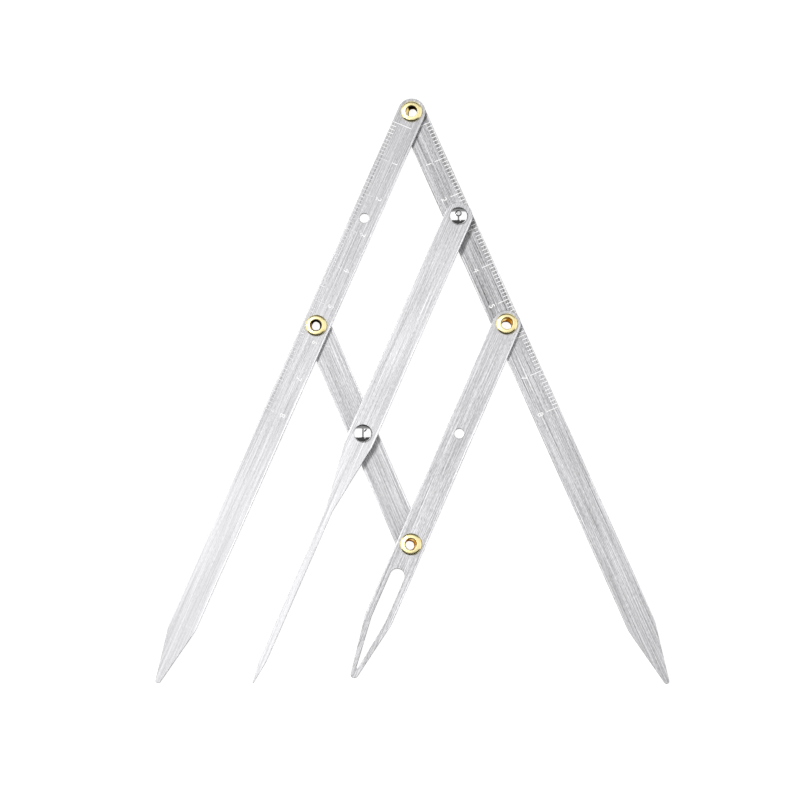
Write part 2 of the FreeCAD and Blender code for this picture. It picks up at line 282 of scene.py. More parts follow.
@dataclass(frozen=True)
class Wear:
    """How a blade's finish and its painted light and shade change along it, in mm from its first pivot.

    Tone and depth are even up to one distance and again past another; the tone is partly the finish and partly
    painted light and shade. The ruler's painted shade has its side and its amount, and the patch how much lighter one
    stretch is, with that stretch's middle and reach.
    """

    tone: Pair
    tone_span: Pair
    depth: Pair
    depth_span: Pair = (0.0, 60.0)
    stain: Pair = (1.0, 0.0)
    patch: Triple = (0.0, 0.0, 1.0)


@dataclass(frozen=True)
class Marks:
    """One kind of brush mark: its length and width in mm, and how far it lightens and darkens the steel."""

    length: float
    width: float
    weight: float

    @property
    def cells(self) -> Triple:
        """Noise cells per metre along the blade, across it and up."""
        return 1.0 / (self.length * MM), 1.0 / (self.width * MM), 1.0 / (self.width * MM)


@dataclass(frozen=True)
class BrushedSteel:
    """Sheet steel with long hairlines along the blade, and a painted highlight along its edges.

    The painted edge highlight and the ruler's painted shade begin and are full at two distances in from the blade's
    edge, and the painted shade ends between two distances along it. A wall is where the upright part of the normal is
    low. Edge and wall change the tone by one amount on the blade's left and another on its right, looking down it from
    above with its pivot on top: painted light, with the edges painted lighter, the left walls painted darker and the
    right walls painted lighter.
    """

    colour: Triple = (0.554, 0.550, 0.563)
    metallic: float = 0.75
    anisotropy: float = 0.87
    roughness: float = 0.56
    streak_roughness: float = 0.20
    edge_roughness: float = -0.40
    grain: Marks = Marks(0.9, 0.16, 0.75)
    fine: Marks = Marks(20.0, 0.145, 1.2)
    hairline: Marks = Marks(12.0, 0.24, 0.55)
    streak: Marks = Marks(40.0, 0.90, 0.14)
    cloud: Marks = Marks(24.0, 5.0, 0.08)
    waver: float = 0.8
    waver_cells: Triple = (20.0, 60.0, 0.0)
    relief: float = 0.0022
    half_seam: float = 0.1
    # Painted light: a painted highlight along the edges, and painted shade and highlight on the side walls, darker on
    # the left and lighter on the right.
    edge_band: Pair = (0.42, 0.26)
    edge_tone: Pair = (0.09, 0.20)
    wall_upright: Pair = (0.25, 0.80)
    wall_tone: Pair = (-0.20, 0.35)
    # Painted shade: a darker band along the edge beside the ruler's marks.
    stain_band: Pair = (1.75, 1.45)
    stain_end: Pair = (84.0, 86.0)

    def material(self, blade: "Blade") -> bpy.types.Material:
        """The finish, turned to run along one blade.

        Args:
            blade: the blade, with its own seed and wear.

        Returns:
            The material.
        """
        material, graph, shader, place = new_material(f"{blade.node}_steel")
        heading, half_width, seed, wear = blade.heading, blade.half_width, blade.seed, blade.wear
        pivot = (blade.pivot[0] * MM, blade.pivot[1] * MM, 0.0)
        mapping = graph.add("ShaderNodeMapping", place, pivot, (0.0, 0.0, heading), vector_type="TEXTURE")
        along, across, up = graph.parts(mapping.outputs[0])

        # The hairlines waver a little: their place across the blade moves by a slow noise.
        waver = graph.noise(mapping.outputs[0], self.waver_cells, 1.0, seed + 3.0)
        wavy = graph.joined(along, graph.scaled(waver, self.waver * MM, across), up)
        grain, fine, hairline, streak, cloud = (
            graph.noise(wavy, marks.cells, 2.0, seed + index)
            for index, marks in enumerate((self.grain, self.fine, self.hairline, self.streak, self.cloud))
        )
        lines = graph.swing(fine, self.fine.weight, 0.0)
        lines = graph.swing(grain, self.grain.weight, lines)
        lines = graph.swing(hairline, self.hairline.weight, lines)
        lines = graph.swing(streak, self.streak.weight, lines)

        # Painted light: the edges are painted lighter, more on the right, and the side walls painted darker on the
        # left and lighter on the right.
        right = graph.span(across, -self.half_seam, self.half_seam)
        edge = graph.span(graph.math("ABSOLUTE", across), *(half_width - inset for inset in self.edge_band))
        edge = graph.times(edge, graph.between(right, self.edge_tone))
        upright = graph.parts(graph.add("ShaderNodeNewGeometry").outputs["Normal"])[2]
        wall = graph.math("SUBTRACT", 1.0, graph.ramp(graph.math("ABSOLUTE", upright), *self.wall_upright))
        wall = graph.times(wall, graph.between(right, self.wall_tone))
        # Beside a ruler's marks a band along the blade's edge is painted darker, as shade beside the etched lines.
        stain = graph.span(graph.times(across, wear.stain[0]), *(half_width - inset for inset in self.stain_band))
        stain = graph.times(stain, graph.span(along, *self.stain_end, wear.stain[1], 0.0))
        # The tone is partly the finish and partly painted light and shade along the blade; the ruler's painted shade
        # and the painted edge and wall light are added to it.
        tone = graph.swing(cloud, self.cloud.weight, graph.span(along, *wear.tone_span, *wear.tone))
        tone = graph.math("SUBTRACT", tone, stain)
        tone = graph.math("ADD", graph.math("ADD", edge, tone), wall)
        amount, spot, reach = wear.patch
        if amount:
            tone = graph.math("ADD", tone, graph.span(graph.off(along, spot * MM), 0.0, reach, amount, 0.0))
        tone = graph.scaled(lines, graph.span(along, *wear.depth_span, *wear.depth), tone)

        brushed = graph.add("ShaderNodeVectorTransform", (-math.sin(heading), math.cos(heading), 0.0),
                            vector_type="VECTOR", convert_from="OBJECT", convert_to="WORLD")
        rough = graph.swing(streak, self.streak_roughness, self.roughness)
        graph.named(shader, {
            "Base Color": graph.tinted(tone, self.colour),
            "Roughness": graph.scaled(edge, self.edge_roughness, rough),
            "Metallic": self.metallic,
            "Anisotropic": self.anisotropy,
            "Tangent": brushed.outputs[0],
            "Normal": graph.bump(graph.math("ADD", fine, hairline), self.relief),
        })
        return material


@dataclass(frozen=True)
class Soot:
    """Painted shade in a bore: its side's bearing about Z in degrees, and its reach round and down, from 0 to 1."""

    bearing: float
    width: float
    reach: float


@dataclass(frozen=True)
class Brass:
    """Polished brass, a little duller and redder in patches, rough in the bore, with painted shade on one side of it.

    Bands are distances from the mouth's radius outwards, in mm. The painted shadow line's heights are from the mouth's
    own, which is a little below the crown, and those of the darker ledge at the bore's lower end are from the resting
    plane. The painted bore shade's side has its bounds on the cosine of the turn, which fall as the shade gets wider.
    """

    colour: Triple = (1.0, 0.89, 0.48)
    tarnish: Triple = (0.95, 0.74, 0.27)
    inside: Triple = (0.74, 0.34, 0.015)
    inside_bright: Triple = (1.0, 0.76, 0.16)
    soot: Triple = (0.012, 0.005, 0.002)
    roughness: float = 0.15
    face_roughness: float = 0.39
    inside_roughness: float = 0.45
    patch_roughness: float = 0.12
    bright_roughness: float = -0.18
    bright_shine: float = 0.9
    patch_cells: float = 900.0
    fine_cells: float = 9000.0
    relief: float = 0.0012
    tarnished: Pair = (0.45, 0.80)
    bright: Pair = (0.50, 0.60)
    bore_band: Pair = (0.01, 0.06)
    face_band: Pair = (0.72, 0.92)
    mouth_depth: float = 0.1
    mouth_fade: float = 0.5
    # Painted shadow: a dark line round the inside of the mouth; the ledge at the bore's lower end is darker.
    line_inset: float = 0.01
    line_band: Pair = (0.03, 0.10)
    line_heights: Pair = (-0.7, -0.4)
    line_grime: float = 0.6
    ledge_low: Pair = (0.22, 0.32)
    ledge_high: Pair = (0.50, 0.80)
    ledge_grime: float = 0.85
    # Painted shade on one side of the bore: its bounds, widening, depth and fade.
    soot_side: Pair = (0.9, 1.2)
    soot_widening: float = 1.8
    soot_depth: float = 3.0
    soot_fade: float = 0.3

    def material(self, eyelet: "Eyelet") -> bpy.types.Material:
        """The finish as a material.

        Args:
            eyelet: the eyelet, with its own painted bore shade and shine.

        Returns:
            The material.
        """
        material, graph, shader, place = new_material(f"{eyelet.node}_brass")
        axis, bore, soot = middle(eyelet.node), eyelet.mouth, eyelet.soot
        mouth_z = eyelet.crown_z - self.mouth_depth
        patch = graph.noise(place, self.patch_cells, 3.0, 1.0)
        fine = graph.noise(place, self.fine_cells, 2.0, 2.0)
        x, y, height = graph.parts(graph.about(place, axis))
        distance = graph.from_axis(place, axis)
        within = graph.span(distance, *(bore + past for past in self.bore_band), 1.0, 0.0)
        hidden = graph.times(within, graph.span(height, mouth_z - self.mouth_fade, mouth_z, 1.0, 0.0))

        # Painted bore shade: the cosine of the turn from its middle, and the depth under the mouth, both past a bound.
        bearing = math.radians(soot.bearing)
        facing = graph.scaled(y, math.sin(bearing), graph.times(x, math.cos(bearing)))
        facing = graph.math("DIVIDE", facing, graph.larger(distance, NEAR_AXIS * MM))
        side = graph.ramp(facing, *(bound - self.soot_widening * soot.width for bound in self.soot_side))
        low = mouth_z - self.soot_depth * soot.reach
        side = graph.times(side, graph.span(height, low - self.soot_fade, low + self.soot_fade))
        bright = graph.ramp(patch, *(bound - eyelet.shine for bound in self.bright))
        bore_skin = graph.mixed(side, graph.mixed(bright, self.inside, self.inside_bright), self.soot)

        # A thin painted shadow line runs round the mouth, and the ledge at the bore's lower end is darker.
        grime = graph.span(graph.off(distance, (bore - self.line_inset) * MM), *self.line_band, self.line_grime, 0.0)
        grime = graph.times(grime, graph.span(height, *(mouth_z + rise for rise in self.line_heights)))
        ledge = graph.times(within, graph.span(height, *self.ledge_low))
        ledge = graph.times(ledge, graph.span(height, *self.ledge_high, self.ledge_grime, 0.0))
        grime = graph.larger(grime, ledge)
        skin = graph.mixed(graph.ramp(patch, *self.tarnished), self.colour, self.tarnish)
        skin = graph.mixed(hidden, skin, bore_skin)

        rough = graph.span(distance, *(bore + past for past in self.face_band), self.face_roughness, self.roughness)
        rough = graph.swing(patch, self.patch_roughness, rough)
        rough = graph.scaled(hidden, self.inside_roughness - self.face_roughness, rough)
        bare = graph.times(bright, graph.math("SUBTRACT", 1.0, side))
        dull = graph.times(hidden, graph.scaled(bare, -self.bright_shine, 1.0))
        graph.named(shader, {
            "Base Color": graph.mixed(grime, skin, self.soot),
            "Roughness": graph.scaled(graph.times(hidden, bright), self.bright_roughness, rough),
            "Metallic": graph.math("SUBTRACT", 1.0, graph.larger(dull, grime)),
            "Specular IOR Level": 0.0,
            "Normal": graph.bump(fine, self.relief),
        })
        return material


@dataclass(frozen=True)
class ToolMark:
    """A ring or a stroke left on a rivet's head.

    It has its middle from the head's axis, its ring's radius and its half line width in mm, and for a stroke how many
    times longer than wide it is, and its bearing in degrees.
    """

    x: float
    y: float
    ring: float
    line: float
    stretch: float = 1.0
    bearing: float = 0.0


@dataclass(frozen=True)
class PolishedSteel:
    """Bright turned steel with the faintest haze, grime in the tool's mark, and a painted shadow under the head's rim.
    """

    colour: Triple = (0.975, 0.976, 0.98)
    grime: Triple = (0.06, 0.06, 0.065)
    haze: float = 0.10
    haze_cells: float = 1500.0
    scratch_cells: Triple = (700.0, 11000.0, 3000.0)
    relief: float = 0.0006
    roughness: float = 0.04
    haze_roughness: float = 0.10
    grime_roughness: float = 0.25
    line_band: Pair = (0.5, 1.4)
    disc_grime: float = 0.28
    disc_fade: float = 0.15
    # Painted shadow under the head's rim.
    rim_grime: float = 0.85
    rim_fade: float = 0.08
    rim_lean: float = 0.11

    def material(self, name: str, axis: np.ndarray, mark: ToolMark, rim: float) -> bpy.types.Material:
        """The finish as a material.

        Args:
            name: the material's name.
            axis: x and y of the rivet's axis, in mm.
            mark: the tool mark on its head.
            rim: the radius past which the painted shadow sits under the head, in mm.

        Returns:
            The material.
        """
        material, graph, shader, place = new_material(name)
        haze = graph.noise(place, self.haze_cells, 3.0, 4.0)
        scratch = graph.noise(place, self.scratch_cells, 2.0, 5.0)
        skin = graph.tinted(graph.swing(haze, self.haze, 1.0), self.colour)
        x, y, _ = graph.parts(graph.about(place, axis + [mark.x, mark.y]))
        cos, sin = math.cos(math.radians(mark.bearing)), math.sin(math.radians(mark.bearing))
        along = graph.scaled(y, sin / mark.stretch, graph.times(x, cos / mark.stretch))
        across = graph.scaled(y, cos, graph.times(x, -sin))
        off_middle = graph.vector("LENGTH", graph.joined(along, across, 0.0))
        line = graph.span(graph.off(off_middle, mark.ring * MM), *(mark.line * part for part in self.line_band),
                          1.0, 0.0)
        disc_grime = self.disc_grime if mark.ring else 0.0
        disc = graph.span(off_middle, mark.ring - self.disc_fade, mark.ring, disc_grime, 0.0)
        # The painted shadow under the rim reaches a little further in on the far side.
        off_y = graph.parts(graph.about(place, axis))[1]
        outwards = graph.scaled(off_y, self.rim_lean, graph.from_axis(place, axis))
        under = graph.span(outwards, rim, rim + self.rim_fade, 0.0, self.rim_grime)
        dirt_and_shade = graph.larger(graph.larger(line, disc), under)
        rough = graph.scaled(haze, self.haze_roughness, self.roughness)
        graph.named(shader, {
            "Base Color": graph.mixed(dirt_and_shade, skin, self.grime),
            "Roughness": graph.scaled(dirt_and_shade, self.grime_roughness, rough),
            "Metallic": 1.0,
            "Normal": graph.bump(scratch, self.relief),
        })
        return material


@dataclass(frozen=True)
class Etching:
    """The frosted white of a line etched into steel, uneven along its length and worn bare in places."""

    colour: Triple = (0.94, 0.94, 0.945)
    bare: Triple = (0.67, 0.665, 0.68)
    roughness: float = 0.55
    patch_roughness: float = 0.15
    patch_cells: float = 1300.0
    worn: Pair = (0.62, 0.80)
    fresh_reach: Pair = (7.0, 9.0)
    wear: float = 0.4

    def material(self, name: str, pivot: np.ndarray, fading: float) -> bpy.types.Material:
        """The finish as a material.

        Args:
            name: the material's name.
            pivot: x and y of the pivot beside the ruler's zero, in mm, where nothing has worn away.
            fading: how much of the frosting has worn away along the rest, from 0 to 1.

        Returns:
            The material.
        """
        material, graph, shader, place = new_material(name)
        patch = graph.noise(place, self.patch_cells, 3.0, 6.0)
        along = graph.span(graph.from_axis(place, pivot), *self.fresh_reach, 0.0, self.wear * fading)
        worn = graph.ramp(graph.math("ADD", patch, along), *self.worn)
        graph.named(shader, {
            "Base Color": graph.mixed(worn, self.colour, self.bare),
            "Roughness": graph.scaled(patch, self.patch_roughness, self.roughness),
            "Metallic": 0.0,
        })
        return material


# ---- meshes ----

def grid_faces(rows: int, columns: int, round_rows: bool) -> list[list[int]]:
    """Four-sided faces of a grid of points that closes on itself along its columns.

    Point (i, j) has number i * columns + j; face (i, j) joins (i, j), (i, j + 1), (i + 1, j + 1) and (i + 1, j).

    Args:
        rows: points along the section.
        columns: points round the axis.
        round_rows: whether the last row joins the first as well.

    Returns:
        Lists of four point numbers.
    """
    i, j = np.meshgrid(np.arange(rows if round_rows else rows - 1), np.arange(columns), indexing="ij")
    above, right = (i + 1) % rows, (j + 1) % columns
    corners = (i * columns + j, i * columns + right, above * columns + right, above * columns + j)
    return np.stack(corners, axis=-1).reshape(-1, 4).tolist()


def new_piece(name: str, points: np.ndarray, faces: list) -> bpy.types.Object:
    """A smooth-shaded mesh object with its normals turned outwards and its sharp edges kept.

    Args:
        name: the piece's name.
        points: vertices in mm, in the frame of the whole tool.
        faces: lists of vertex numbers.

    Returns:
        The object, linked to the scene, at the origin.
    """
    mesh = bpy.data.meshes.new(name)
    mesh.from_pydata((points * MM).tolist(), [], faces)
    edit = bmesh.new()
    edit.from_mesh(mesh)
    bmesh.ops.recalc_face_normals(edit, faces=edit.faces)
    edit.to_mesh(mesh)
    edit.free()
    mesh.polygons.foreach_set("use_smooth", np.ones(len(mesh.polygons), bool))
    mesh.set_sharp_from_angle(angle=math.radians(SHARP_DEGREES))
    return linked(bpy.data.objects.new(name, mesh))


def linked(thing: bpy.types.Object) -> bpy.types.Object:
    """Link an object to the scene and hand it back."""
    bpy.context.scene.collection.objects.link(thing)
    return thing


def arc(centre: Pair, radius: float, start: float, end: float, steps: int) -> np.ndarray:
    """Points on an arc of a section: centre + radius * (cos angle, sin angle), from start to end.

    Args:
        centre: distance from the axis and height of the arc's centre, in mm.
        radius: the arc's radius, in mm.
        start: first angle, in degrees.
        end: last angle, in degrees.
        steps: number of spans.

    Returns:
        Points as rows of (distance from the axis, height).
    """
    angle = np.radians(np.linspace(start, end, steps + 1))
    return np.column_stack((centre[0] + radius * np.cos(angle), centre[1] + radius * np.sin(angle)))


def turned(name: str, section: np.ndarray, axis: np.ndarray, ring: bool, warp: Warp | None = None
           ) -> bpy.types.Object:
    """A section carried round an upright axis: point = axis + distance * (cos turn, sin turn), at its height.

    Args:
        name: the piece's name.
        section: rows of (distance from the axis, height) in mm.
        axis: x and y of the axis, in mm.
        ring: True for a closed section clear of the axis, False for one that starts and ends on it.
        warp: what moves the points about the axis, given them as rows of x, y, z and their turns.

    Returns:
        The piece.
    """
    turn = np.linspace(0.0, 2.0 * math.pi, SEGMENTS, endpoint=False)
    body = section if ring else section[1:-1]
    distance, angle = np.meshgrid(body[:, 0], turn, indexing="ij")
    height = np.repeat(body[:, 1], SEGMENTS).reshape(distance.shape)
    points = np.stack((distance * np.cos(angle), distance * np.sin(angle), height), axis=-1).reshape(-1, 3)
    faces = grid_faces(len(body), SEGMENTS, ring)
    if not ring:
        # The two poles are one point each, joined to their nearest ring by a fan.
        count = len(points)
        points = np.vstack((points, [(0.0, 0.0, section[0, 1]), (0.0, 0.0, section[-1, 1])]))
        here = np.arange(SEGMENTS)
        there = (here + 1) % SEGMENTS
        last = count - SEGMENTS
        faces += np.column_stack((there, here, np.full(SEGMENTS, count))).tolist()
        faces += np.column_stack((here + last, there + last, np.full(SEGMENTS, count + 1))).tolist()
    if warp is not None:
        points = warp(points, np.arctan2(points[:, 1], points[:, 0]))
    return new_piece(name, points + [axis[0], axis[1], 0.0], faces)


def middle(node: str) -> np.ndarray:
    """The middle of a node's box as x and y in mm, which is the axis of a turned piece."""
    low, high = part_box(node)
    return np.array([low.x + high.x, low.y + high.y]) / 2.0 / MM


def settle(piece: bpy.types.Object, node: str, slot: Slot, material: bpy.types.Material, *replaced: str) -> None:
    """Give a new piece its finish and body, hide the nodes that it stands for, and report it.

    Args:
        piece: the new piece.
        node: the node whose body it moves with.
        slot: the record's slot of its finish; not used.
        material: its material.
        replaced: the nodes that it stands for.
    """
    body = frame["nodes"][node]["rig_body"]
    piece.data.materials.append(material)
    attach(piece, body)
    if replaced:
        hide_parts(*replaced)
    log.info("%s rides on %s, %d faces", piece.name, body, len(piece.data.polygons))


# ---- the blades ----

@dataclass(frozen=True)
class Blade:
    """One steel blade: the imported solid, dressed in a finish that runs from one pivot's node to another's."""

    node: str
    start: str
    end: str
    seed: float
    wear: Wear
    half_width: float = 3.5

    @property
    def pivot(self) -> np.ndarray:
        """The blade's first pivot, x and y in mm."""
        return middle(self.start)

    @property
    def heading(self) -> float:
        """Direction from the first pivot to the second, about Z in radians."""
        way = middle(self.end) - middle(self.start)
        return math.atan2(way[1], way[0])

    @property
    def top(self) -> float:
        """Height of the blade's upper face, in mm."""
        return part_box(self.node)[1].z / MM

    def placed(self, points: np.ndarray) -> np.ndarray:
        """Carry points from the blade's own frame to the tool's.

        The blade's x runs from its first pivot to its second and its y is to the left of that: a point becomes
        pivot + x * (cos, sin) + y * (-sin, cos), with the height unchanged.

        Args:
            points: rows of x, y and z in mm.

        Returns:
            The same rows in the tool's frame.
        """
        cos, sin = math.cos(self.heading), math.sin(self.heading)
        x, y = points[:, 0], points[:, 1]
        return np.column_stack((self.pivot[0] + x * cos - y * sin, self.pivot[1] + x * sin + y * cos, points[:, 2]))

    def dress(self, finish: BrushedSteel) -> None:
        """Give the blade its brushed finish."""
        frame["nodes"][self.node].material_slots[0].material = finish.material(self)
        log.info("%s runs at %.1f degrees", self.node, math.degrees(self.heading))


@dataclass
class Ruler:
    """Eight centimetres of etched marks with their numerals, along the outer edge of a long arm.

    The ruler's zero is so far past the arm's pivot. Marks begin at the rim's distance in from the blade's edge and
    run to their own distance from it. Everything stands proud by the relief and reaches into the steel by the root.
    """

    blade: Blade
    edge: RuledEdge
    fading: float
    figure_fading: float = 0.35
    zero: float = 4.15
    centimetres: int = 8
    mark_width: float = 0.20
    short_mark: float = 1.5
    long_mark: float = 3.3
    zero_mark: float = 5.2
    rim: float = 0.13
    numeral_height: float = 1.45
    numeral_inset: float = 4.97
    boldness: float = 0.012
    relief: float = 0.006
    root: float = 0.02

    def marks(self) -> tuple[np.ndarray, list]:
        """All lines of the ruler as thin bars.

        Line k stands at zero + k mm along the blade and runs inwards from the rim, to the short length, or to the
        long one where k is a multiple of ten, or to the zero mark's own length at k = 0.

        Returns:
            Points in the blade's frame and faces.
        """
        k = np.arange(self.centimetres * 10 + 1)
        length = np.where(k % 10 == 0, self.long_mark, self.short_mark)
        length[0] = self.zero_mark
        outer = self.edge.value * (self.blade.half_width - self.rim)
        inner = self.edge.value * (self.blade.half_width - length)
        corner = np.array([(x, y, z) for z in (0, 1) for x, y in ((-1, 0), (1, 0), (1, 1), (-1, 1))])
        x = (self.zero + k)[:, None] + corner[:, 0] * self.mark_width / 2.0
        y = outer + corner[:, 1] * (inner - outer)[:, None]
        z = np.broadcast_to(self.blade.top - self.root + corner[:, 2] * (self.root + self.relief), x.shape)
        sides = np.array([(0, 3, 2, 1), (4, 5, 6, 7), (0, 1, 5, 4), (1, 2, 6, 5), (2, 3, 7, 6), (3, 0, 4, 7)])
        faces = (sides + 8 * k[:, None, None]).reshape(-1, 4).tolist()
        return np.stack((x, y, z), axis=-1).reshape(-1, 3), faces

    def numerals(self) -> tuple[np.ndarray, list]:
        """The numerals as thin solids, each set to its height and centred on its centimetre line.

        Returns:
            Points in the blade's frame and faces.
        """
        all_points, all_faces, count = [], [], 0
        for number in range(1, self.centimetres + 1):
            curve = bpy.data.curves.new("numeral", "FONT")
            curve.body = str(number)
            curve.extrude = 0.5
            curve.offset = self.boldness
            curve.resolution_u = 4
            source = linked(bpy.data.objects.new("numeral", curve))
            mesh = bpy.data.meshes.new_from_object(source.evaluated_get(bpy.context.evaluated_depsgraph_get()))
            points = np.array([vertex.co for vertex in mesh.vertices], np.float32).astype(float)
            low, high = points.min(axis=0), points.max(axis=0)
            points = (points - (low + high) / 2.0) * (self.numeral_height / (high[1] - low[1]))
            points[:, 0] += self.zero + 10.0 * number
            points[:, 1] += self.edge.value * (self.blade.half_width - self.numeral_inset)
            points[:, 2] = self.blade.top + np.where(points[:, 2] > 0.0, self.relief, -self.root)
            all_points.append(points)
            all_faces += [[index + count for index in polygon.vertices] for polygon in mesh.polygons]
            count += len(points)
            bpy.data.objects.remove(source)
            bpy.data.curves.remove(curve)
            bpy.data.meshes.remove(mesh)
        return np.vstack(all_points), all_faces

    def build(self, finish: Etching) -> None:
        """Lay the marks and the numerals on the blade, each as one piece."""
        node = self.blade.node
        for what, shape, fading in (("etching", self.marks, self.fading),
                                    ("figures", self.numerals, self.figure_fading * self.fading)):
            material = finish.material(f"{node}_{what}", self.blade.pivot, fading)
            points, faces = shape()
            piece = new_piece(f"{node}_ruler_{shape.__name__}", self.blade.placed(points), faces)
            settle(piece, node, Slot.BLADE_STEEL, material)


# ---- eyelets and rivets ----

@dataclass
class Eyelet:
    """A hollow brass rivet: a rolled collar in front, a barrel, and a tail curled over behind.

    Each has its own lean, turn of its unevenness, painted bore shade, throat radius at the tail, oval (amount and
    bearing), drift of the mouth, and shine, which bares more bright brass in the bore. Heights are from the resting
    plane.
    """

    node: str
    lean: Pair
    turn: float
    soot: Soot
    throat: float
    oval: Pair
    drift: Pair = (0.0, 0.0)
    shine: float = 0.0
    mouth: float = 1.52
    bore: float = 1.25
    barrel: float = 1.55
    collar: float = 2.70
    collar_z: float = 2.65
    collar_round: float = 0.10
    crown_z: float = 3.30
    tail: float = 2.20
    tail_z: float = 0.55
    tail_round: float = 0.30
    tail_edge: float = 0.12
    throat_z: float = 0.40
    cut: float = 0.06
    edge: float = 0.07
    ledge: float = 0.09
    lobes: Pair = (0.035, 0.02)
    lobes_outside: float = 0.25
    lobed_z: float = 0.9
    tilt: float = 0.02
    wave: float = 0.01
    crown_distance: tuple[float, ...] = (1.55, 1.95, 2.18, 2.32, 2.50, 2.63, 2.70)
    crown_slope: tuple[float, ...] = (4.0, 7.0, 13.0, 25.0, 36.0, 46.0, 70.0)

    def section(self) -> np.ndarray:
        """Closed section of the eyelet, counterclockwise from the tail's inner lip.

        With depth from 0 at the mouth to 1 at the tail, the throat narrows by most of its way * depth^0.8, and by the
        ledge * depth^18.

        Returns:
            Rows of distance from the axis and height, in mm.
        """
        curl, nick, lip = self.tail_round, self.tail_edge, self.collar_round
        back = np.vstack((
            arc((self.throat + curl, curl), curl, 180.0, 270.0, 8),
            arc((self.tail - curl, curl), curl, -90.0, 0.0, 8),
            arc((self.tail - nick, self.tail_z - nick), nick, 0.0, 90.0, 4),
            [(self.barrel + self.cut, self.tail_z), (self.barrel, self.tail_z + self.cut)],
            [(self.barrel, self.collar_z - self.cut), (self.barrel + self.cut, self.collar_z)],
            arc((self.collar - lip, self.collar_z + lip), lip, -80.0, 0.0, 5),
        ))
        # The crown's slope grows outwards, so its height falls as the running sum of the slope's tangent.
        distance = np.linspace(self.mouth + self.edge, self.collar, 61)
        slope = np.radians(np.interp(distance, self.crown_distance, self.crown_slope))
        fall = np.tan((slope[1:] + slope[:-1]) / 2.0) * np.diff(distance)
        height = self.crown_z - np.concatenate(([0.0], np.cumsum(fall)))
        crown = np.column_stack((distance, np.maximum(height, self.collar_z + lip + 0.02)))[::-1]
        mouth = arc((self.mouth + self.edge, self.crown_z - self.edge), self.edge, 85.0, 180.0, 6)
        depth = np.linspace(0.0, 1.0, 33)[1:]
        narrowing = self.mouth - self.throat - 0.02 - self.ledge
        start = self.crown_z - self.edge
        throat = np.column_stack((self.mouth - narrowing * depth ** 0.8 - self.ledge * depth ** 18,
                                  start - (start - self.throat_z) * depth))
        return np.vstack((back, crown, mouth, throat))

    def uneven(self, points: np.ndarray, turn: np.ndarray) -> np.ndarray:
        """Unevenness of setting by hand: a bore that leans and is oval low down, a lobed tail, a tipped collar.

        The inner points move sideways by lean * depth and are scaled by 1 + amount * depth * cos(2 (turn - bearing)),
        and the tail's by 1 + three * cos(3 turn) + five * cos(5 turn), where three and five are the lobes' shares. The
        mouth moves sideways by drift, which fades out at the collar's rim and foot. The collar falls by
        tilt * (1 - y / collar) and by wave * (1 + cos(2 turn)).

        Args:
            points: rows of x, y and z about the axis.
            turn: their turns about the axis.

        Returns:
            The moved rows.
        """
        distance, z = np.hypot(points[:, 0], points[:, 1]), points[:, 2]
        inside = np.clip((self.barrel - distance) / (self.barrel - self.bore), 0.0, 1.0)
        depth = np.clip(1.0 - z / self.crown_z, 0.0, 1.0)
        low = np.clip(1.0 - z / self.lobed_z, 0.0, 1.0)
        high = np.clip((z - self.collar_z) / (self.crown_z - self.collar_z), 0.0, 1.0)
        near = np.clip((self.collar - distance) / (self.collar - self.mouth), 0.0, 1.0)
        three, five = self.lobes
        lobes = three * np.cos(3.0 * turn + self.turn) + five * np.cos(5.0 * turn + 2.0 * self.turn)
        amount, bearing = self.oval
        scale = 1.0 + lobes * low * (inside + self.lobes_outside)
        scale *= 1.0 + amount * inside * depth * np.cos(2.0 * (turn - math.radians(bearing)))
        tipped = self.tilt * (1.0 - points[:, 1] / self.collar)
        moved = points * np.column_stack((scale, scale, np.ones(len(scale))))
        moved[:, :2] += np.array(self.lean) * (inside * depth)[:, None]
        moved[:, :2] += np.array(self.drift) * (high * near)[:, None]
        moved[:, 2] -= high * (self.wave * (1.0 + np.cos(2.0 * turn + self.turn)) + tipped)
        return moved

    def build(self, finish: Brass) -> None:
        """Make the eyelet in place of its solid."""
        piece = turned(f"{self.node}_brass", self.section(), middle(self.node), True, self.uneven)
        settle(piece, self.node, Slot.BRASS, finish.material(self), self.node)


